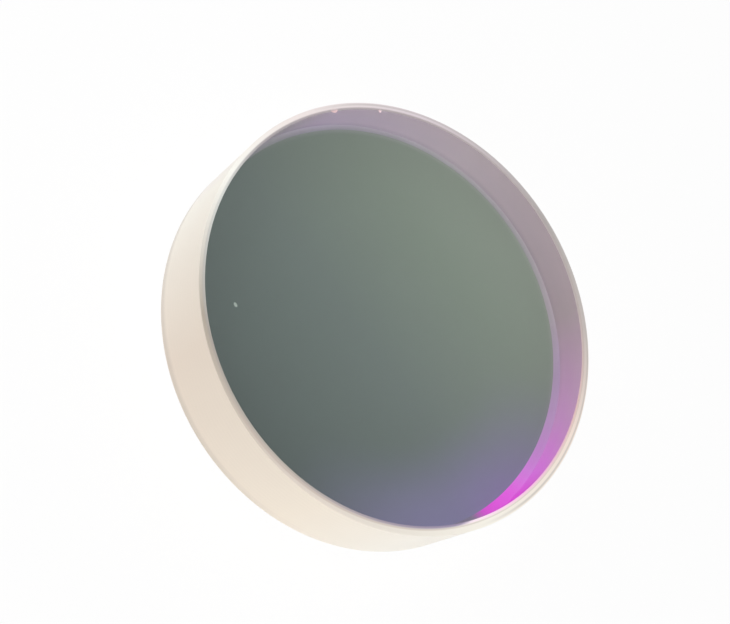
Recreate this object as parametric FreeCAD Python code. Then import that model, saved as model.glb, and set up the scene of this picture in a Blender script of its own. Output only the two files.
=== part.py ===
import FreeCAD, Part
import math
import os

# A flat round mirror of optical glass, in millimetres and degrees.
# It lies on its coated rear face: the origin is the centre of that face, and +Z is the optical axis
# and points out through the clear front face. It was cut, ground and polished from one disc, so it
# is one solid. The mirror coating is a film of a few thousandths of a millimetre and has no solid.

# The disc: the diameter of its ground barrel, and the distance between its two polished faces
DIAMETER = 25.4
THICKNESS = 6.0

# The main bevel of the front edge: how far it reaches in from the barrel, its slope from the face,
# and how far off the centre of the barrel it was ground, with the azimuth that it was moved to
FRONT_BEVEL_WIDTH = 0.41
FRONT_BEVEL_SLOPE = 27.0
FRONT_BEVEL_SHIFT = 0.21
FRONT_BEVEL_SHIFT_AZIMUTH = -116.0

# The relief between the main bevel and the polished face, a second and much flatter stroke
RELIEF_WIDTH = 0.11
RELIEF_SLOPE = 8.0

# The rear bevel, a steeper one, ground off centre another way
REAR_BEVEL_WIDTH = 0.47
REAR_BEVEL_SLOPE = 45.0
REAR_BEVEL_SHIFT = 0.23
REAR_BEVEL_SHIFT_AZIMUTH = 121.0

# Shell chips that broke out of the front edge, each a shallow dish: its azimuth, how far its middle
# lies in from the barrel, half its width, and its depth. The first is long and barely reaches the
# polished face, the second is a notch in that face, and the third is a nick beside the relief.
CHIPS = (
    (167.2, 0.34, 0.28, 0.070),
    (152.6, 0.55, 0.10, 0.060),
    (37.6, 0.41, 0.05, 0.045),
)

RADIUS = DIAMETER / 2.0
UP = FreeCAD.Vector(0.0, 0.0, 1.0)


def off_axis(distance, azimuth, height):
    """A point at a distance and an azimuth from the optical axis, at a height above the rear face."""
    turn = math.radians(azimuth)
    return FreeCAD.Vector(distance * math.cos(turn), distance * math.sin(turn), height)


def left_by_cup(width, slope, centre, into_glass):
    """All that a conical grinding cup leaves standing, where it bevels the edge of one face.

    The cone has its small end on the face, and opens into the glass at the bevel's slope until it
    has passed the other face.
    """
    face_radius = RADIUS - width
    opening = THICKNESS / math.tan(math.radians(slope))
    return Part.makeCone(face_radius, face_radius + opening, THICKNESS, centre, into_glass)


def shell_chip(azimuth, inset, half_width, depth, centre):
    """The ball whose cap is a chip: the rim of the cap lies level with the polished face."""
    ball_radius = (half_width**2 + depth**2) / (2.0 * depth)
    rise = UP * (ball_radius - depth)
    return Part.makeSphere(ball_radius, centre + off_axis(RADIUS - inset, azimuth, 0.0) + rise)


def mirror_blank():
    """The ground disc, bevelled at both edges and chipped at the front one."""
    front_centre = off_axis(FRONT_BEVEL_SHIFT, FRONT_BEVEL_SHIFT_AZIMUTH, THICKNESS)
    rear_centre = off_axis(REAR_BEVEL_SHIFT, REAR_BEVEL_SHIFT_AZIMUTH, 0.0)
    relief_reach = FRONT_BEVEL_WIDTH + RELIEF_WIDTH

    blank = Part.makeCylinder(RADIUS, THICKNESS)
    blank = blank.common(left_by_cup(REAR_BEVEL_WIDTH, REAR_BEVEL_SLOPE, rear_centre, UP))
    blank = blank.common(left_by_cup(FRONT_BEVEL_WIDTH, FRONT_BEVEL_SLOPE, front_centre, -UP))
    blank = blank.common(left_by_cup(relief_reach, RELIEF_SLOPE, front_centre, -UP))
    for azimuth, inset, half_width, depth in CHIPS:
        blank = blank.cut(shell_chip(azimuth, inset, half_width, depth, front_centre))
    return blank.Solids[0]


os.makedirs("parts", exist_ok=True)
blank = mirror_blank()
blank.exportStep("parts/mirror_blank.step")

box = blank.optimalBoundingBox(False, False)
print("mirror_blank: valid", blank.isValid(), "faces", len(blank.Faces))
print("box", round(box.XLength, 3), round(box.YLength, 3), round(box.ZLength, 3))
print("volume in cubic millimetres", round(blank.Volume, 2))
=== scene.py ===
# %% [markdown]
# # A flat round laser mirror of clear glass
#
# This lesson dresses one small optical mirror for its picture. The real thing is a single disc of
# crown glass. Its barrel and its bevels are fine-ground, its near face is polished and clear, and
# its far face carries a dielectric coating, which is a stack of very thin layers that mirrors one
# colour of light and lets the rest through.
#
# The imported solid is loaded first. It is the measure for all that follows, so it is never moved.

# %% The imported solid
import math
import bmesh
import bpy
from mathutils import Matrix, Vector


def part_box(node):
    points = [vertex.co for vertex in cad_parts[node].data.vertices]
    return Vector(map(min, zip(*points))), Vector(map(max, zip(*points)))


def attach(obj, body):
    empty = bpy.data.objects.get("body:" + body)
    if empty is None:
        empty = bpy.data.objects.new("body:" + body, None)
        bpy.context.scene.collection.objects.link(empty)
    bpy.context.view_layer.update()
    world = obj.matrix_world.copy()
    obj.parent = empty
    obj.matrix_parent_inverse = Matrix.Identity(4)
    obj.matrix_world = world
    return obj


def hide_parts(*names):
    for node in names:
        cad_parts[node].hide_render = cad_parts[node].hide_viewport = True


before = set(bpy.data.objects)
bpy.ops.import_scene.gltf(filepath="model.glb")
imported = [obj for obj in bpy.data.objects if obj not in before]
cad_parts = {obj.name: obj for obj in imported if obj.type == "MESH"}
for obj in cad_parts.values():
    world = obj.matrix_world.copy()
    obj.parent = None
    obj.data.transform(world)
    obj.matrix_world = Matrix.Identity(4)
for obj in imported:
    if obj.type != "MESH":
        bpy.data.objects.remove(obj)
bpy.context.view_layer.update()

MM = 0.001
low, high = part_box("mirror_blank")
RADIUS = (high.x - low.x) / 2
THICKNESS = high.z - low.z
print("disc: radius", round(RADIUS / MM, 2), "mm, thickness", round(THICKNESS / MM, 2), "mm")

# %% [markdown]
# ## The camera
#
# A camera is best settled before anything is modelled, because each edge can then be compared with
# the picture. This one looks down on the disc from about 84 mm away, a macro view, and it is rolled
# to the side, as the mirror was leaning. The lens is given in millimetres for a sensor 36 mm wide.
# Depth of field stays off, so the whole rim is sharp.

# %% The camera
CAMERA_PLACE_MM = (0.0, -47.115, 70.125)
CAMERA_TURN_DEG = (19.898, -29.044, 54.756)
LENS_MM = 69.97
SENSOR_MM = 36.0

camera_data = bpy.data.cameras.new("macro_camera")
camera_data.lens = LENS_MM
camera_data.sensor_width = SENSOR_MM
camera_data.clip_start = 1.0 * MM
camera_data.clip_end = 10.0
camera = bpy.data.objects.new("macro_camera", camera_data)
camera.location = Vector(CAMERA_PLACE_MM) * MM
camera.rotation_euler = [math.radians(turn) for turn in CAMERA_TURN_DEG]
bpy.context.scene.collection.objects.link(camera)
bpy.context.scene.camera = camera
bpy.context.scene.view_settings.view_transform = "Standard"
print("camera distance", round(camera.location.length / MM, 1), "mm")

# %% [markdown]
# ## Helpers for materials
#
# Colours are easiest to note as sRGB hex values, the ones a colour picker shows. Shaders work with
# linear light, so one function converts them. A second one adds a shader node: it sets the node's
# own properties, and gives each input a number, a colour or a link. When it is handed a whole node,
# it links the first output that is in use. Inputs go by name or by count. In a Map Range, 0 is the
# value, 1 and 2 are the range it comes from, and 3 and 4 the range it goes to. In a Mix of colours,
# 0 is the share and 6 and 7 are the two colours.

# %% Helpers for materials
def linear(colour):
    """An sRGB hex colour as linear red, green, blue and alpha."""
    shares = [int(colour[i:i + 2], 16) / 255 for i in (1, 3, 5)]
    return [s / 12.92 if s <= 0.04045 else ((s + 0.055) / 1.055) ** 2.4 for s in shares] + [1.0]


def add_node(tree, kind, inputs=None, **settings):
    """One shader node. An input takes a number, a hex colour, a socket or another node."""
    node = tree.nodes.new(kind)
    for name, value in settings.items():
        setattr(node, name, value)
    for name, value in (inputs or {}).items():
        if isinstance(value, bpy.types.Node):
            value = next(socket for socket in value.outputs if socket.enabled)
        if isinstance(value, bpy.types.NodeSocket):
            tree.links.new(value, node.inputs[name])
        else:
            node.inputs[name].default_value = linear(value) if isinstance(value, str) else value
    return node


def new_material(name):
    """A material with an empty node tree and an output node."""
    material = bpy.data.materials.new(name)
    material.use_nodes = True
    material.node_tree.nodes.clear()
    output = material.node_tree.nodes.new("ShaderNodeOutputMaterial")
    return material, material.node_tree, output


# %% [markdown]
# ## Where on the disc a point lies
#
# Most of this disc's colour changes with place: round the rim, or in from an edge. Each pattern is
# built from Object coordinates, which stay with the glass whichever way it is looked at. Three
# measures are enough: the azimuth, which is the compass direction from the disc's middle, the
# distance from an upright axis, and the height above a plane. The cups that ground the bevels stood
# off centre and the bevels with them, so each measure can be taken about another centre. A measure is
# then turned into a share from 0 to 1, near an azimuth or on a thin line, or into a tone by a ramp.

# %% Measures for patterns
def spot(azimuth, radius=1.0):
    """The x, y and z of a place at an azimuth in degrees and a radius."""
    turn = math.radians(azimuth)
    return Vector((radius * math.cos(turn), radius * math.sin(turn), 0.0))


def offset_from(tree, centre):
    """The way from a centre to the point that is shaded."""
    place = add_node(tree, "ShaderNodeTexCoord").outputs["Object"]
    return add_node(tree, "ShaderNodeVectorMath", {0: place, 1: centre}, operation="SUBTRACT")


def azimuth_share(tree, centre=(0.0, 0.0, 0.0)):
    """The azimuth about a centre, from 0 at -180 degrees to 1 at 180 degrees."""
    way = add_node(tree, "ShaderNodeSeparateXYZ", {0: offset_from(tree, centre)})
    turn = add_node(tree, "ShaderNodeMath", {0: way.outputs["Y"], 1: way.outputs["X"]}, operation="ARCTAN2")
    return add_node(tree, "ShaderNodeMath", {0: turn, 1: 0.5 / math.pi, 2: 0.5}, operation="MULTIPLY_ADD")


def distance_mm(tree, centre=(0.0, 0.0, 0.0)):
    """How far a point is from an upright axis through a centre, in millimetres."""
    flat = {0: offset_from(tree, centre), 1: (1 / MM, 1 / MM, 0.0)}
    level = add_node(tree, "ShaderNodeVectorMath", flat, operation="MULTIPLY")
    return add_node(tree, "ShaderNodeVectorMath", {0: level}, operation="LENGTH")


def height_mm(tree, at_axis=0.0, lean=(0.0, 0.0, 0.0)):
    """How high a point is, in millimetres, above a plane that rises from the axis by a lean."""
    place = add_node(tree, "ShaderNodeTexCoord").outputs["Object"]
    up = (-lean[0] / MM, -lean[1] / MM, 1 / MM)
    height = add_node(tree, "ShaderNodeVectorMath", {0: place, 1: up}, operation="DOT_PRODUCT")
    return add_node(tree, "ShaderNodeMath", {0: height, 1: at_axis}, operation="SUBTRACT")


def how_far_from(tree, measure, value):
    """How far a measure is from a value, either way."""
    difference = add_node(tree, "ShaderNodeMath", {0: measure, 1: value}, operation="SUBTRACT")
    return add_node(tree, "ShaderNodeMath", {0: difference}, operation="ABSOLUTE")


def share_near(tree, azimuth, nearest, furthest, most, least=0.0):
    """A share that is at its most near an azimuth and fades to its least so many degrees away."""
    astray = how_far_from(tree, azimuth_share(tree), (azimuth + 180) / 360)
    return add_node(tree, "ShaderNodeMapRange", {
        0: astray, 1: furthest / 360, 2: nearest / 360, 3: least, 4: most,
    }, interpolation_type="SMOOTHSTEP")


def thin_line(tree, distance, radius, core, reach, most):
    """A share for a line at a radius: at its most within the core, and nothing beyond the reach."""
    return add_node(tree, "ShaderNodeMapRange", {
        0: how_far_from(tree, distance, radius), 1: reach, 2: core, 4: most,
    }, interpolation_type="SMOOTHSTEP")


def tone_ramp(tree, share, stops):
    """A colour that changes with a share. Each stop is a place from 0 to 1 and a hex colour."""
    ramp = add_node(tree, "ShaderNodeValToRGB", {0: share})
    elements = ramp.color_ramp.elements
    elements.remove(elements[-1])
    elements[0].position = stops[0][0]
    elements[0].color = linear(stops[0][1])
    for place, colour in stops[1:]:
        elements.new(place).color = linear(colour)
    return ramp


def tone_round_the_disc(tree, tones, turn):
    """A colour that changes with the azimuth. Each tone is an azimuth in degrees and a hex colour."""
    return tone_ramp(tree, turn, [((azimuth + 180) / 360, colour) for azimuth, colour in tones])


# %% [markdown]
# ## Polished crown glass
#
# The near face is polished and uncoated. Crown glass bends light with an index of 1.517, so the
# eye sees the coated face and the far wall shifted and squeezed, and about a twentieth of the room
# is mirrored on top. A Principled shader with full Transmission does both. Lamps can't find a way
# through bent glass by themselves, so for their shadow rays alone the face is a Transparent shader.

# %% Polished crown glass
GLASS_IOR = 1.517
POLISHED_PASSES = 0.92


def open_to_lamps(tree, shader, output, passed):
    """Shows the shader, and lets that share of the lamps' light pass."""
    rays = add_node(tree, "ShaderNodeLightPath")
    clear = add_node(tree, "ShaderNodeBsdfTransparent", {"Color": (passed, passed, passed, 1.0)})
    sides = {0: rays.outputs["Is Shadow Ray"], 1: shader, 2: clear}
    mixed = add_node(tree, "ShaderNodeMixShader", sides)
    tree.links.new(mixed.outputs[0], output.inputs["Surface"])


polished_glass, tree, output = new_material("crown_glass_polished")
glass = add_node(tree, "ShaderNodeBsdfPrincipled", {
    "Base Color": "#FCFEFD", "Roughness": 0.0, "IOR": GLASS_IOR, "Transmission Weight": 1.0,
})
open_to_lamps(tree, glass, output, POLISHED_PASSES)
print("light mirrored head on:", round(((GLASS_IOR - 1) / (GLASS_IOR + 1)) ** 2, 3))

# %% [markdown]
# ## Ground glass
#
# A diamond wheel and loose grit ground the barrel and the bevels and left them matt. Ground glass
# is full of tiny fractures that scatter light, so it looks like cream paper. The real grain is
# about 0.015 mm and too fine for this picture, where a pixel is 0.06 mm, so it is drawn at 0.07 mm
# on the barrel and a little finer on the bevels. The light that a ground wall takes in isn't lost
# but spreads inside the glass, so most of the lamps' light may pass it.

# %% Ground glass
BARREL_GRAIN_MM = 0.07
BEVEL_GRAIN_MM = 0.05
GROUND_PASSES = 0.9


def finish_as_ground_glass(tree, output, colour, roughness, grain_mm, strength):
    """A matt glass surface of a colour, with the grain of grinding as a bump."""
    place = add_node(tree, "ShaderNodeTexCoord").outputs["Object"]
    grain = add_node(tree, "ShaderNodeTexNoise", {
        "Vector": place, "Scale": 1 / (grain_mm * MM), "Detail": 3.0, "Roughness": 0.6,
    })
    bump = add_node(tree, "ShaderNodeBump", {
        "Height": grain, "Strength": strength, "Distance": grain_mm * MM * 0.25,
    })
    ground = add_node(tree, "ShaderNodeBsdfPrincipled", {
        "Base Color": colour, "Roughness": roughness, "IOR": GLASS_IOR, "Normal": bump,
    })
    open_to_lamps(tree, ground, output, GROUND_PASSES)


# %% [markdown]
# ## The rear bevel's place
#
# The barrel ends at the rear bevel, and that bevel was ground 0.23 mm off centre, so the barrel's
# foot isn't level: it rises from 0.24 mm on one side to 0.70 mm on the other. The numbers are kept
# here, because a faint grey line of painted shade runs along that foot.

# %% The rear bevel's place
REAR_WIDTH = 0.47 * MM
REAR_SLOPE = 45.0
REAR_SHIFT = 0.23 * MM
REAR_AZIMUTH = 121.0

rear_centre = spot(REAR_AZIMUTH, REAR_SHIFT)
rear_radius_mm = (RADIUS - REAR_WIDTH) / MM
foot_mm = math.tan(math.radians(REAR_SLOPE)) * REAR_WIDTH / MM
foot_lean = -rear_centre / RADIUS * math.tan(math.radians(REAR_SLOPE))
foot_swing_mm = foot_lean.length * RADIUS / MM
print("foot of the barrel at", round(foot_mm, 2), "mm, give or take", round(foot_swing_mm, 2))

# %% [markdown]
# ## The fine-ground barrel
#
# The cream of the barrel is its own colour, and a ramp round the rim paints light and shade on it:
# palest at the two sides, where the light reaches it flat, and browner in front. The grinding left
# faint rings of feed marks, drawn 0.35 mm apart, about twice the real pitch, so that they show.
# Cloudy blotches a few millimetres wide are finger grease and uneven grinding, and along the foot
# at the front a painted shade makes the glass greyer.

# %% Fine-ground barrel
# BARREL_TONES are the barrel's cream with painted light and shade round it.
BARREL_TONES = [
    (-180, "#E4E0DE"), (-166, "#E8E4E0"), (-150, "#F2EEE4"), (-108, "#E8D9C9"), (-60, "#FBEFDE"),
    (-30, "#FFFAF0"), (70, "#F1E9DD"), (180, "#E4E0DE"),
]
FEED_MARK_MM = 0.35
WAVE_AT_SCALE_1 = 0.314  # how long one wave of a Wave texture is at a scale of 1
BLOTCH_MM = 2.6
FOOT_SHADE = "#8F8A86"

ground_barrel, tree, output = new_material("crown_glass_fine_ground_barrel")
place = add_node(tree, "ShaderNodeTexCoord").outputs["Object"]
cream = tone_round_the_disc(tree, BARREL_TONES, azimuth_share(tree))
feed = add_node(tree, "ShaderNodeTexWave", {
    "Vector": place, "Scale": WAVE_AT_SCALE_1 / (FEED_MARK_MM * MM),
    "Distortion": 6.0, "Detail": 2.0, "Detail Scale": 0.3,
}, bands_direction="Z")
feed_share = add_node(tree, "ShaderNodeMath", {0: feed, 1: 0.05}, operation="MULTIPLY")
marked = add_node(tree, "ShaderNodeMix", {0: feed_share, 6: cream, 7: "#CFC4B8"}, data_type="RGBA")
blotch = add_node(tree, "ShaderNodeTexNoise", {
    "Vector": place, "Scale": 1 / (BLOTCH_MM * MM), "Detail": 2.0,
})
blotch_share = add_node(tree, "ShaderNodeMath", {0: blotch, 1: 0.10}, operation="MULTIPLY")
blotched = add_node(tree, "ShaderNodeMix", {0: blotch_share, 6: marked, 7: "#D9CEC2"}, data_type="RGBA")
# A painted shade along the foot, on the front side only.
above_foot = height_mm(tree, foot_mm, foot_lean)
low_down = add_node(tree, "ShaderNodeMapRange", {
    0: above_foot, 1: 0.75, 2: 0.2, 4: 0.22,
}, interpolation_type="SMOOTHSTEP")
in_front = add_node(tree, "ShaderNodeMapRange", {0: height_mm(tree, 0.0, -spot(-125.0)), 1: 5.0, 2: 11.0})
painted_foot_shade = add_node(tree, "ShaderNodeMath", {0: low_down, 1: in_front}, operation="MULTIPLY")
footed = add_node(tree, "ShaderNodeMix", {0: painted_foot_shade, 6: blotched, 7: FOOT_SHADE}, data_type="RGBA")
finish_as_ground_glass(tree, output, footed, 0.55, BARREL_GRAIN_MM, 0.35)
print("barrel tones:", len(BARREL_TONES))

# %% [markdown]
# ## The two strokes of the front bevel
#
# The front edge was bevelled twice, by cups that stood 0.21 mm off centre. The main stroke slopes
# at 27 degrees. A second and much flatter one, the relief, takes the sharp corner off the polished
# face. Ground glass this thin is half clear, and its tones are painted light and shade: painted
# shade where the grey coating lies behind the strokes, and painted light, pale or pink, where the
# lit barrel wall does. Round the rim that is a slow change between a few tones. At its outer edge
# the near side takes on the barrel's cream with its painted shading, and the far side, which is
# seen against the white room, has a grey outline of painted shade.

# %% The front bevel's place
FRONT_WIDTH = 0.41 * MM
FRONT_SLOPE = 27.0
FRONT_SHIFT = 0.21 * MM
FRONT_AZIMUTH = -116.0
RELIEF_WIDTH = 0.11 * MM
RELIEF_SLOPE = 8.0

front_centre = spot(FRONT_AZIMUTH, FRONT_SHIFT)
cup_radius = RADIUS - FRONT_WIDTH
face_radius = cup_radius - RELIEF_WIDTH
steep, flat = math.tan(math.radians(FRONT_SLOPE)), math.tan(math.radians(RELIEF_SLOPE))
meeting_radius = (steep * cup_radius - flat * face_radius) / (steep - flat)
meeting_drop = flat * (meeting_radius - face_radius)
print("polished face ends at", round(face_radius / MM, 3), "mm")
print("relief ends at", round(meeting_radius / MM, 3), "mm")

# %% The tones of the front bevel
# BEVEL_TONES are painted light and shade: pale tones painted light and highlight, dark ones shade.
BEVEL_TONES = [
    (-180, "#E8DEDB"), (-155, "#EDECE4"), (-114, "#A3988B"), (-60, "#DACFC4"), (-10, "#FFFBF0"),
    (28, "#FAE8DC"), (60, "#B6AAA5"), (92, "#9C9492"), (140, "#D6CAD0"), (180, "#E8DEDB"),
]
CREAM_FROM_MM, CREAM_TO_MM = 12.64, 12.74
# OUTLINE_GREY is a painted shade line along the far edge.
OUTLINE_GREY = "#ACA6A2"
OUTLINE_RADIUS_MM = 12.56


def main_stroke_tone(tree):
    """Painted light and shade of the main stroke: cream at the near barrel, a grey shade line far side."""
    body = tone_round_the_disc(tree, BEVEL_TONES, azimuth_share(tree, front_centre))
    cream = tone_round_the_disc(tree, BARREL_TONES, azimuth_share(tree))
    outward = add_node(tree, "ShaderNodeMapRange", {
        0: distance_mm(tree), 1: CREAM_FROM_MM, 2: CREAM_TO_MM, 4: 0.6,
    }, interpolation_type="SMOOTHSTEP")
    at_barrel = add_node(tree, "ShaderNodeMix", {0: outward, 6: body, 7: cream}, data_type="RGBA")
    far_side = add_node(tree, "ShaderNodeMapRange", {
        0: height_mm(tree, THICKNESS / MM, -spot(80.0)), 1: -1.3, 2: 2.5,
    })
    outline = thin_line(tree, distance_mm(tree), OUTLINE_RADIUS_MM, 0.02, 0.12, 0.5)
    share = add_node(tree, "ShaderNodeMath", {0: far_side, 1: outline}, operation="MULTIPLY")
    return add_node(tree, "ShaderNodeMix", {0: share, 6: at_barrel, 7: OUTLINE_GREY}, data_type="RGBA")


print("tones of the main stroke:", len(BEVEL_TONES))

# %% [markdown]
# ## The relief and the slanted end of the dark
#
# The relief is 0.15 mm wide, two or three pixels. It is flatter, so it has tones of its own, which
# are painted light and shade: a painted highlight where it would shine with the left softbox at the
# near left, and painted shade at the front. On the right side that painted shade ends at a slant,
# where the coating's edge passes under the relief, so the azimuth is skewed there by the distance
# from the middle. Where the strokes meet, one tone runs into the other, and a fine brown line lies
# along their ridge from the front, round the right, to the far side.

# %% The two ground strokes
SKEW_FROM_MM = 12.2
SKEW_PER_MM = 20.0 / 360
BLEND_FROM_MM, BLEND_TO_MM = 12.25, 12.37
RIDGE_BROWN = "#8E6A5C"
RIDGE_RADIUS_MM = 12.36
# RELIEF_TONES paint light and shade on the relief round the rim.
RELIEF_TONES = [
    (-168, "#A39B9E"), (-146, "#D0D2CE"), (-108, "#9C948C"), (-70, "#AEA49A"), (-19, "#9486A4"),
    (-15, "#FFECF6"), (6, "#F6C4E0"), (34, "#DCBAB6"), (68, "#B0A3A1"), (180, "#A69CA0"),
]


def front_edge_tone(tree):
    """The whole ground edge's tone with its painted light and shade, from the polished face to the barrel.
    """
    from_cup = distance_mm(tree, front_centre)
    off_face = add_node(tree, "ShaderNodeMath", {0: from_cup, 1: SKEW_FROM_MM}, operation="SUBTRACT")
    skewed = add_node(tree, "ShaderNodeMath", {
        0: off_face, 1: SKEW_PER_MM, 2: azimuth_share(tree, front_centre),
    }, operation="MULTIPLY_ADD")
    inner_edge = tone_round_the_disc(tree, RELIEF_TONES, skewed)
    outward = add_node(tree, "ShaderNodeMapRange", {
        0: from_cup, 1: BLEND_FROM_MM, 2: BLEND_TO_MM,
    }, interpolation_type="SMOOTHSTEP")
    stroke = main_stroke_tone(tree)
    edge = add_node(tree, "ShaderNodeMix", {0: outward, 6: inner_edge, 7: stroke}, data_type="RGBA")
    line = thin_line(tree, from_cup, RIDGE_RADIUS_MM, 0.01, 0.07, 1.0)
    on_the_right = share_near(tree, 0.0, 70.0, 110.0, 0.28)
    share = add_node(tree, "ShaderNodeMath", {0: line, 1: on_the_right}, operation="MULTIPLY")
    return add_node(tree, "ShaderNodeMix", {0: share, 6: edge, 7: RIDGE_BROWN}, data_type="RGBA")


front_bevel, tree, output = new_material("crown_glass_ground_front_bevel")
finish_as_ground_glass(tree, output, front_edge_tone(tree), 0.45, BEVEL_GRAIN_MM, 0.2)

relief, tree, output = new_material("crown_glass_ground_relief")
finish_as_ground_glass(tree, output, front_edge_tone(tree), 0.35, BEVEL_GRAIN_MM, 0.12)
print("tones of the relief:", len(RELIEF_TONES))

# %% [markdown]
# ## The rear bevel from outside
#
# Seen from behind, the rear bevel is a plain ground band, a shade browner than the barrel because
# handling has left grime in it.

# %% Rear bevel
GRIME_MM = 0.6

rear_bevel, tree, output = new_material("crown_glass_ground_rear_bevel")
place = add_node(tree, "ShaderNodeTexCoord").outputs["Object"]
grime = add_node(tree, "ShaderNodeTexNoise", {"Vector": place, "Scale": 1 / (GRIME_MM * MM), "Detail": 3.0})
grime_share = add_node(tree, "ShaderNodeMapRange", {0: grime, 1: 0.35, 2: 0.75, 4: 0.4})
handled = add_node(tree, "ShaderNodeMix", {0: grime_share, 6: "#EFEBE3", 7: "#C3B8AB"}, data_type="RGBA")
finish_as_ground_glass(tree, output, handled, 0.5, BEVEL_GRAIN_MM, 0.2)

# %% [markdown]
# ## The ground wall, with light from the coating painted on
#
# Through the clear face the eye sees the inner side of the barrel. The coating lets some colours
# through, and they light this wall; that light is painted into the wall's colour: mauve at the far
# side, and a strong magenta at the right end, where the wall is seen most slantwise. The list of
# tones is set here, before the coating, because the coating's edge takes a little of it: the bevel
# behind blurs the line between the two.

# %% The wall's tones
# WALL_TONES are painted light: the colours that the coating lets through onto the wall.
WALL_TONES = [
    (-180, "#B4ACB4"), (-5, "#6C6276"), (-1, "#E400DA"), (9, "#FA34F0"), (18, "#F674F8"),
    (36, "#DE9CDC"), (66, "#BCA8B0"), (120, "#D4C4CE"), (165, "#D0BED8"), (180, "#B4ACB4"),
]


def wall_seen_inside(name, colour_from):
    """The material of a part of the skin inside the barrel."""
    material, tree, output = new_material(name)
    wall = tone_round_the_disc(tree, WALL_TONES, azimuth_share(tree))
    surface = add_node(tree, "ShaderNodeBsdfPrincipled", {
        "Base Color": colour_from(tree, wall), "Roughness": 0.6, "IOR": GLASS_IOR,
    })
    open_to_lamps(tree, surface, output, 1.0)
    return material


FRONT_ROSE = "#E2CBCE"
PAINTED_SHADE_GREY = "#5C5C80"
COATING_EDGE = "#66726C"


def on_the_left(tree, most):
    """A share that grows from nothing at the right end of the wall to its most at the left."""
    leftward = height_mm(tree, 0.0, -spot(140.0))
    return add_node(tree, "ShaderNodeMapRange", {0: leftward, 1: -4.0, 2: 8.0, 4: most})


def paler_at_the_front(tree, wall):
    """The wall's painted light, paler and browner toward the front bevel, with painted shade at its foot."""
    share = add_node(tree, "ShaderNodeMapRange", {0: height_mm(tree), 1: 2.0, 2: 5.4, 4: 0.35})
    front = add_node(tree, "ShaderNodeMix", {0: share, 6: wall, 7: FRONT_ROSE}, data_type="RGBA")
    low_down = add_node(tree, "ShaderNodeMapRange", {
        0: height_mm(tree, foot_mm, foot_lean), 1: 0.9, 2: 0.0,
    }, interpolation_type="SMOOTHSTEP")
    share = add_node(tree, "ShaderNodeMath", {0: low_down, 1: on_the_left(tree, 0.2)}, operation="MULTIPLY")
    return add_node(tree, "ShaderNodeMix", {0: share, 6: front, 7: PAINTED_SHADE_GREY}, data_type="RGBA")


def greyer_at_the_coating(tree, wall):
    """The tone of the rear bevel: painted light, darkened by painted shade, most near the right.

    On the left it runs on into the coating's own tone.
    """
    # A painted shade, strongest near azimuth 38.
    painted_shade = share_near(tree, 38.0, 8.0, 40.0, 0.56, 0.2)
    foot = add_node(tree, "ShaderNodeMix", {0: painted_shade, 6: wall, 7: PAINTED_SHADE_GREY}, data_type="RGBA")
    inward = add_node(tree, "ShaderNodeMapRange", {
        0: distance_mm(tree, rear_centre), 1: rear_radius_mm + 0.44, 2: rear_radius_mm - 0.02,
        3: 0.12, 4: 0.85,
    })
    share = add_node(tree, "ShaderNodeMath", {0: inward, 1: on_the_left(tree, 0.85)}, operation="MULTIPLY")
    return add_node(tree, "ShaderNodeMix", {0: share, 6: foot, 7: COATING_EDGE}, data_type="RGBA")


inner_wall = wall_seen_inside("ground_wall_painted_light_from_coating", paler_at_the_front)
inner_bevel = wall_seen_inside("rear_bevel_painted_light_from_coating", greyer_at_the_coating)

# %% [markdown]
# ## The dielectric coating, seen through the glass
#
# The rear face was polished and then coated in a vacuum with many thin layers of oxide. Seen
# through the glass against a white room, it reads as a calm grey-green, a little lighter at the far
# side, and it turns violet toward the right, where it is seen at another slant. A ramp across the
# disc gives the grey-green, and its lighter far side is painted light. A patch along the rim gives
# the violet, a painted reflection: it grows toward the rim and fades to both sides of an azimuth.
# At the far side the edge takes a little of the wall's painted mauve. The front face above it has
# the shine, so this layer has next to none.

# %% Coating seen through the glass
FILM_TONES_WITH_PAINTED_LIGHT = [(0.0, "#3A4644"), (0.15, "#414D4A"), (0.5, "#535F5A"), (0.8, "#647165"), (1.0, "#717D70")]
# VIOLET is a painted reflection of the coating seen at a slant.
VIOLET = "#6F6B8E"
VIOLET_AZIMUTH = -10.0

inner_coating, tree, output = new_material("dielectric_coating_seen_through_glass")
across = height_mm(tree, 0.0, -spot(98.0) / (2 * RADIUS / MM))
depth = add_node(tree, "ShaderNodeMath", {0: across, 1: 0.5}, operation="ADD")
film = tone_ramp(tree, depth, FILM_TONES_WITH_PAINTED_LIGHT)

rimward = add_node(tree, "ShaderNodeMapRange", {
    0: distance_mm(tree), 1: 6.5, 2: 12.4,
}, interpolation_type="SMOOTHSTEP")
sideways = share_near(tree, VIOLET_AZIMUTH, 6.0, 62.0, 0.9)
violet = add_node(tree, "ShaderNodeMath", {0: rimward, 1: sideways}, operation="MULTIPLY")
tinted = add_node(tree, "ShaderNodeMix", {0: violet, 6: film, 7: VIOLET}, data_type="RGBA")

at_edge = add_node(tree, "ShaderNodeMapRange", {
    0: distance_mm(tree, rear_centre), 1: rear_radius_mm - 0.35, 2: rear_radius_mm, 4: 0.1,
}, interpolation_type="SMOOTHSTEP")
far_side = add_node(tree, "ShaderNodeMapRange", {0: height_mm(tree, 0.0, -spot(110.0)), 1: 1.0, 2: 8.0})
edge_blur = add_node(tree, "ShaderNodeMath", {0: at_edge, 1: far_side}, operation="MULTIPLY")
wall = tone_round_the_disc(tree, WALL_TONES, azimuth_share(tree))
edged = add_node(tree, "ShaderNodeMix", {0: edge_blur, 6: tinted, 7: wall}, data_type="RGBA")
layers = add_node(tree, "ShaderNodeBsdfPrincipled", {
    "Base Color": edged, "Roughness": 0.6, "Specular IOR Level": 0.1,
})
tree.links.new(layers.outputs[0], output.inputs["Surface"])

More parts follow.
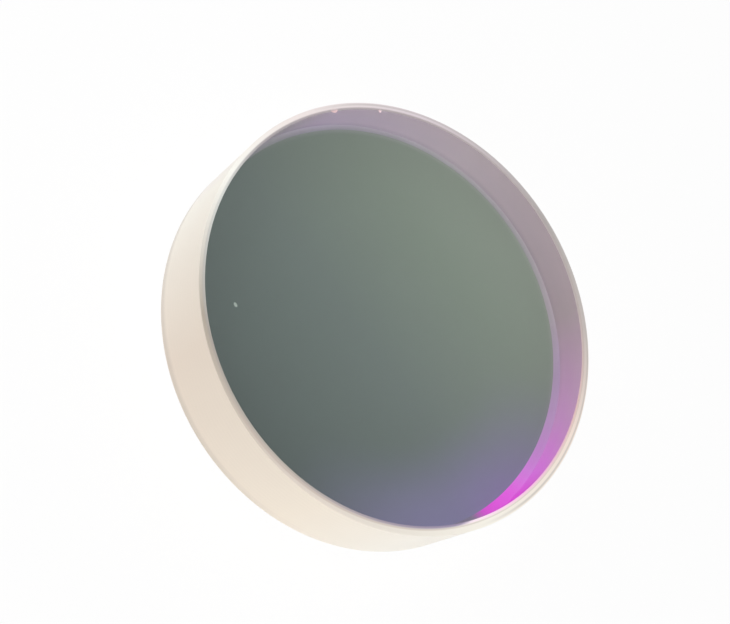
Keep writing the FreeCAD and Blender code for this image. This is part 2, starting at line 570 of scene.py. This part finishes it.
# %% [markdown]
# ## The dielectric coating, seen from behind
#
# From the back the coating is met in air, and there it does what it was made for: it mirrors. Thin
# oxide layers aren't a metal, but a half metallic surface with little roughness comes close to a
# stack that sends back about half of white light with a green cast. The layers thin out a little
# toward the rim, which shifts their tint to blue. Wiping leaves faint smears, about 3 mm wide, which
# a noise pattern gives to the roughness.

# %% Coating seen from behind
SMEAR_MM = 3.0

coating, tree, output = new_material("dielectric_mirror_coating")
place = add_node(tree, "ShaderNodeTexCoord").outputs["Object"]
smear = add_node(tree, "ShaderNodeTexNoise", {"Vector": place, "Scale": 1 / (SMEAR_MM * MM), "Detail": 4.0})
haze = add_node(tree, "ShaderNodeMapRange", {0: smear, 1: 0.3, 2: 0.75, 3: 0.05, 4: 0.16})
hue = add_node(tree, "ShaderNodeMapRange", {0: distance_mm(tree), 1: 5.0, 2: 12.4})
film = add_node(tree, "ShaderNodeMix", {0: hue, 6: "#8E9D96", 7: "#8A909C"}, data_type="RGBA")
layers = add_node(tree, "ShaderNodeBsdfPrincipled", {"Base Color": film, "Roughness": haze, "Metallic": 0.6})
tree.links.new(layers.outputs[0], output.inputs["Surface"])

# %% [markdown]
# ## Chips and a dig
#
# Where glass chips, it breaks in small shells with a bright, uneven surface. The three chips at the
# front edge show what lies behind them, painted into their tone as painted light, so their tone
# changes with the azimuth, and it fades into the ground edge's own painted tone on the way out.
# A short dig on the polished face is frosted grey.

# %% Chips and a dig
CHIP_GRAIN_MM = 0.03
# CHIP_TONES are painted light: what shows through the chips round the rim.
CHIP_TONES = [(0, "#B49E8A"), (60, "#B49E8A"), (146, "#EBDCE1"), (160, "#D9B9BB"), (180, "#D9B9BB")]

chip_glass, tree, output = new_material("crown_glass_shell_chip")
shell = tone_round_the_disc(tree, CHIP_TONES, azimuth_share(tree, front_centre))
inward = add_node(tree, "ShaderNodeMapRange", {
    0: distance_mm(tree, front_centre), 1: 12.32, 2: 12.18, 3: 0.1, 4: 1.0,
}, interpolation_type="SMOOTHSTEP")
chipped = add_node(tree, "ShaderNodeMix", {0: inward, 6: front_edge_tone(tree), 7: shell}, data_type="RGBA")
finish_as_ground_glass(tree, output, chipped, 0.3, CHIP_GRAIN_MM, 0.3)

dig_glass, tree, output = new_material("crown_glass_dig")
place = add_node(tree, "ShaderNodeTexCoord").outputs["Object"]
frost = add_node(tree, "ShaderNodeTexNoise", {"Vector": place, "Scale": 1 / (0.08 * MM)})
frosted = add_node(tree, "ShaderNodeMix", {0: frost, 6: "#9FAAA2", 7: "#848F89"}, data_type="RGBA")
finish_as_ground_glass(tree, output, frosted, 0.4, CHIP_GRAIN_MM, 0.3)

FINISHES = [polished_glass, relief, front_bevel, ground_barrel, rear_bevel, coating, chip_glass, dig_glass]
POLISHED, RELIEF, BEVEL, BARREL, REAR, COATED, CHIPPED, DUG = range(len(FINISHES))
print("finishes of the disc:", len(FINISHES))

# %% [markdown]
# ## Working in edit mode from a script
#
# By hand, faces are clicked. In a script they are picked by where they lie or which way they point.
# Everything is deselected before each step, because an operator works on all that is selected.

# %% Modelling helpers
def only(piece):
    """Deselects everything, then selects one object and makes it the active one."""
    bpy.ops.object.select_all(action="DESELECT")
    piece.select_set(True)
    bpy.context.view_layer.objects.active = piece


def pick_faces(piece, wanted):
    """In edit mode, selects the faces that a test passes, and says how many there are."""
    bpy.context.tool_settings.mesh_select_mode = (False, False, True)
    bpy.ops.mesh.select_all(action="DESELECT")
    mesh = bmesh.from_edit_mesh(piece.data)
    for face in mesh.faces:
        face.select_set(wanted(face))
    bmesh.update_edit_mesh(piece.data)
    return sum(face.select for face in mesh.faces)


def pick_points(piece, wanted):
    """In edit mode, selects the points whose place passes a test."""
    bpy.context.tool_settings.mesh_select_mode = (True, False, False)
    bpy.ops.mesh.select_all(action="DESELECT")
    mesh = bmesh.from_edit_mesh(piece.data)
    for point in mesh.verts:
        point.select_set(wanted(point.co))
    mesh.select_flush_mode()
    bmesh.update_edit_mesh(piece.data)


def paint_picked(piece, slot):
    """Gives the selected faces one of the piece's material slots."""
    piece.active_material_index = slot
    bpy.ops.object.material_slot_assign()


def tilt_picked(slope, centre, height):
    """Tilts the selected loop about the disc's middle, as a bevel ground off centre leaves it."""
    lean = math.tan(math.radians(slope)) * centre / RADIUS
    pivot = (0.0, 0.0, height)
    bpy.ops.transform.rotate(
        value=-math.atan(lean.y), orient_axis="X", orient_type="GLOBAL", center_override=pivot
    )
    bpy.ops.transform.rotate(
        value=math.atan(lean.x), orient_axis="Y", orient_type="GLOBAL", center_override=pivot
    )


# %% [markdown]
# ## The disc
#
# The blank starts as a cylinder with 360 sides, enough for a round outline with no visible corners.
# It could be spun from a profile, but the bevels are off centre, and a spin can't do that. So each
# flat end is inset instead, which makes a ring for every ground stroke, and the inset face is moved
# to where the cup stood.

# %% The cylinder
SEGMENTS = 360
NEAR = 0.005 * MM

bpy.ops.object.select_all(action="DESELECT")
bpy.ops.mesh.primitive_cylinder_add(
    vertices=SEGMENTS, radius=RADIUS, depth=THICKNESS, location=(0.0, 0.0, THICKNESS / 2)
)
blank = bpy.context.object
blank.name = "polished_mirror_blank"
bpy.ops.object.transform_apply(location=True, rotation=True, scale=True)
for finish in FINISHES:
    blank.data.materials.append(finish)
print("cylinder faces", len(blank.data.polygons))

# %% [markdown]
# ## Grinding the front edge
#
# The first inset is the ring of the main stroke and drops by the relief's height, the second is the
# ring of the relief and comes back up to the face. Then the outer rim is lowered to the foot of the
# slope, and tilted, because the bevel reaches deeper on the side that the cup was moved away from.

# %% The front strokes
only(blank)
bpy.ops.object.mode_set(mode="EDIT")
pick_faces(blank, lambda face: face.normal.z > 0.9)
bpy.ops.mesh.inset(thickness=RADIUS - meeting_radius, depth=0.0)
bpy.ops.transform.translate(value=front_centre + Vector((0.0, 0.0, -meeting_drop)))
bpy.ops.mesh.inset(thickness=meeting_radius - face_radius, depth=0.0)
bpy.ops.transform.translate(value=(0.0, 0.0, meeting_drop))

edge_drop = steep * FRONT_WIDTH
pick_points(blank, lambda p: p.xy.length > RADIUS - NEAR and p.z > THICKNESS - NEAR)
bpy.ops.transform.translate(value=(0.0, 0.0, -edge_drop))
tilt_picked(FRONT_SLOPE, front_centre, THICKNESS - edge_drop)
bpy.ops.object.mode_set(mode="OBJECT")

tops = [p.co for p in blank.data.vertices if p.co.xy.length > RADIUS - NEAR and p.co.z > THICKNESS / 2]
print("front edge from", round(min(p.z for p in tops) / MM, 3), "to", round(max(p.z for p in tops) / MM, 3))

# %% [markdown]
# ## Grinding the rear edge
#
# The rear edge is one 45 degree stroke, off centre another way, and it is made the same way.

# %% The rear stroke
bpy.ops.object.mode_set(mode="EDIT")
pick_faces(blank, lambda face: face.normal.z < -0.9)
bpy.ops.mesh.inset(thickness=REAR_WIDTH, depth=0.0)
bpy.ops.transform.translate(value=rear_centre)
pick_points(blank, lambda p: p.xy.length > RADIUS - NEAR and p.z < NEAR)
bpy.ops.transform.translate(value=(0.0, 0.0, foot_mm * MM))
tilt_picked(-REAR_SLOPE, rear_centre, foot_mm * MM)
bpy.ops.object.mode_set(mode="OBJECT")

feet = [p.co for p in blank.data.vertices if p.co.xy.length > RADIUS - NEAR and p.co.z < THICKNESS / 2]
print("rear edge from", round(min(p.z for p in feet) / MM, 3), "to", round(max(p.z for p in feet) / MM, 3))

# %% [markdown]
# ## Giving each surface its finish
#
# Every ground stroke has its own slope, so the direction a face points says which finish it has.

# %% Finishes by slope
bpy.ops.object.mode_set(mode="EDIT")
for slot, lowest, highest in (
    (POLISHED, 0.999, 1.1), (RELIEF, 0.95, 0.999), (BEVEL, 0.5, 0.95), (BARREL, -0.5, 0.5),
    (REAR, -0.9, -0.5), (COATED, -1.1, -0.9),
):
    count = pick_faces(blank, lambda face: lowest < face.normal.z <= highest)
    paint_picked(blank, slot)
    print(FINISHES[slot].name, count)
bpy.ops.object.mode_set(mode="OBJECT")

# %% [markdown]
# ## What is seen through the glass
#
# From outside the barrel is cream, and from inside, through the clear face, it shows the painted
# mauve light from the coating. The coating too looks one way from behind and another through the
# glass. One surface can't show two colours in every program, so a skin 0.03 mm thick lies just
# inside the barrel, the rear bevel and the coated face and carries what is seen from inside. It is
# a copy of those faces, drawn in a hair and given a wall by Solidify, so it is closed and follows
# the glass exactly.

# %% The skin inside the glass
SKIN_GAP_MM = 0.02
SKIN_MM = 0.03

only(blank)
bpy.ops.object.duplicate()
inner_skin = bpy.context.object
inner_skin.name = "skin_seen_through_glass"
bpy.ops.object.mode_set(mode="EDIT")
pick_faces(inner_skin, lambda face: face.normal.z > 0.5)
bpy.ops.mesh.delete(type="FACE")
bpy.ops.mesh.select_all(action="SELECT")
bpy.ops.transform.shrink_fatten(value=-SKIN_GAP_MM * MM)
bpy.ops.object.mode_set(mode="OBJECT")

inner_skin.data.materials.clear()
inner_skin.data.materials.append(inner_wall)
inner_skin.data.materials.append(inner_bevel)
inner_skin.data.materials.append(inner_coating)
bpy.ops.object.mode_set(mode="EDIT")
for slot, lowest, highest in ((0, -0.5, 0.5), (1, -0.9, -0.5), (2, -1.1, -0.9)):
    count = pick_faces(inner_skin, lambda face: lowest < face.normal.z <= highest)
    paint_picked(inner_skin, slot)
    print(inner_skin.data.materials[slot].name, count)
bpy.ops.object.mode_set(mode="OBJECT")

skin = inner_skin.modifiers.new("skin", "SOLIDIFY")
skin.thickness = SKIN_MM * MM
skin.offset = -1.0
bpy.ops.object.modifier_apply(modifier=skin.name)

# %% [markdown]
# ## Chipping the edge
#
# A shell chip is a shallow dish, and a large ball that dips into the edge by the chip's depth cuts
# exactly that. Each ball is a Boolean cutter that brings its own material along. The dig on the
# face is cut the same way by a ball pressed into a long seed.

# %% Chips and dig
CHIPS = ((167.2, 0.34, 0.28, 0.070), (152.6, 0.55, 0.10, 0.060), (37.6, 0.41, 0.05, 0.045))
DIG_PLACE_MM = (-4.82, -9.58)
DIG_HALF_SIZE_MM = (0.14, 0.09, 0.03)
BALL_SIDES = 96


def cut_by_ball(place, radii, finish):
    """Cuts the disc with a ball, drawn out to three radii, and finishes the cut."""
    bpy.ops.object.select_all(action="DESELECT")
    bpy.ops.mesh.primitive_uv_sphere_add(
        segments=BALL_SIDES, ring_count=BALL_SIDES // 2, radius=1.0, location=place
    )
    ball = bpy.context.object
    ball.scale = radii
    bpy.ops.object.transform_apply(location=True, rotation=True, scale=True)
    ball.data.materials.append(finish)
    only(blank)
    cut = blank.modifiers.new("chip", "BOOLEAN")
    cut.operation = "DIFFERENCE"
    cut.solver = "EXACT"
    cut.object = ball
    cut.material_mode = "TRANSFER"
    bpy.ops.object.modifier_apply(modifier=cut.name)
    bpy.data.objects.remove(ball)


for azimuth, inset, half_width, depth in CHIPS:
    ball_radius = (half_width**2 + depth**2) / (2 * depth) * MM
    middle = front_centre + spot(azimuth, RADIUS - inset * MM)
    rise = THICKNESS + ball_radius - depth * MM
    cut_by_ball(middle + Vector((0.0, 0.0, rise)), [ball_radius] * 3, chip_glass)

dig_place = [DIG_PLACE_MM[0] * MM, DIG_PLACE_MM[1] * MM, THICKNESS]
cut_by_ball(dig_place, [size * MM for size in DIG_HALF_SIZE_MM], dig_glass)

# %% [markdown]
# ## Checking and handing over
#
# Both pieces are shaded smooth, with a crease wherever two surfaces meet at more than 6 degrees, so
# the round sides look round and the edges of the strokes stay crisp. Each mesh must be closed. Then
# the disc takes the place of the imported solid, and the skin rides with it.

# %% Check and hand over
CREASE_DEG = 6.0

for piece in (blank, inner_skin):
    only(piece)
    bpy.ops.object.shade_smooth_by_angle(angle=math.radians(CREASE_DEG))
    mesh = bmesh.new()
    mesh.from_mesh(piece.data)
    open_edges = sum(1 for edge in mesh.edges if len(edge.link_faces) != 2)
    volume = round(mesh.calc_volume() / MM**3, 2)
    print(piece.name, "faces", len(mesh.faces), "open edges", open_edges, "volume mm3", volume)
    mesh.free()
    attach(piece, "root")

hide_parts("mirror_blank")

# %% [markdown]
# ## A white sweep to lie on
#
# The picture's ground is white paper. A plane of white paper catches the shadow, and for rays that
# the eye sees it is mostly a plain white glow, so that the ground is white without more light on
# the glass. Mirrored and refracted rays see the same white, because the glass mirrors its room.

# %% Floor
PAPER_SIDE = 1.2
PAPER_DROP_MM = 0.02
PAPER_GLOW = 0.85

bpy.ops.object.select_all(action="DESELECT")
bpy.ops.mesh.primitive_plane_add(size=PAPER_SIDE, location=(0.0, 0.0, -PAPER_DROP_MM * MM))
floor = bpy.context.object
floor.name = "studio_floor"


def seen_rays(tree):
    """1 for rays from the camera, from a mirroring surface or through glass, and 0 for the rest."""
    rays = add_node(tree, "ShaderNodeLightPath")
    seen = {0: rays.outputs["Is Camera Ray"], 1: rays.outputs["Is Glossy Ray"]}
    seen = add_node(tree, "ShaderNodeMath", seen, operation="MAXIMUM")
    seen = {0: seen, 1: rays.outputs["Is Transmission Ray"]}
    return add_node(tree, "ShaderNodeMath", seen, operation="MAXIMUM")


paper, tree, output = new_material("white_paper_sweep")
matt = add_node(tree, "ShaderNodeBsdfDiffuse", {"Color": "#F4F4F4"})
glow = add_node(tree, "ShaderNodeEmission", {"Color": "#FFFFFF", "Strength": 1.0})
share = add_node(tree, "ShaderNodeMath", {0: seen_rays(tree), 1: PAPER_GLOW}, operation="MULTIPLY")
mixed = add_node(tree, "ShaderNodeMixShader", {0: share, 1: matt, 2: glow})
tree.links.new(mixed.outputs[0], output.inputs["Surface"])
floor.data.materials.append(paper)

# %% [markdown]
# ## Soft studio light
#
# White walls all round give a base of soft light, and four softboxes shape it: a strong one from
# the left, which also lights the wall inside the right end of the glass, a weaker one from the
# right, a low one from behind and one overhead. They stand where the polished face doesn't mirror
# them to the camera, and the right one is small enough not to be mirrored in a low view from behind.
# Each is set by the level that it gives on a white card, and together they come to about 1, so a
# colour renders about as it is written.

# %% World and lamps
AMBIENT = 0.35

world = bpy.data.worlds.new("white_studio")
bpy.context.scene.world = world
world.use_nodes = True
tree = world.node_tree
tree.nodes.clear()
output = tree.nodes.new("ShaderNodeOutputWorld")
strength = add_node(tree, "ShaderNodeMapRange", {"Value": seen_rays(tree), "To Min": AMBIENT, "To Max": 1.0})
walls = add_node(tree, "ShaderNodeBackground", {"Color": "#FFFFFF", "Strength": strength})
tree.links.new(walls.outputs[0], output.inputs["Surface"])


def softbox(name, azimuth, elevation, distance, side, level):
    """A square area lamp aimed at the disc. Its power gives that level on a white card facing it."""
    data = bpy.data.lights.new(name, "AREA")
    data.shape = "SQUARE"
    data.size = side
    data.energy = level * math.pi**2 * distance**2
    lamp = bpy.data.objects.new(name, data)
    rise = math.radians(elevation)
    back = spot(azimuth, math.cos(rise)) + Vector((0.0, 0.0, math.sin(rise)))
    lamp.location = back * distance + Vector((0.0, 0.0, THICKNESS / 2))
    lamp.rotation_euler = back.to_track_quat("Z", "Y").to_euler()
    bpy.context.scene.collection.objects.link(lamp)
    return lamp


for lamp_settings in (
    ("left_softbox", -172.0, 35.0, 0.30, 0.22, 0.54),
    ("right_softbox", -45.0, 35.0, 0.30, 0.16, 0.35),
    ("rear_softbox", 80.0, 14.0, 0.30, 0.12, 0.15),
    ("top_softbox", 0.0, 90.0, 0.30, 0.16, 0.20),
):
    lamp = softbox(*lamp_settings)
    print(lamp.name, round(lamp.data.energy, 3), "W")
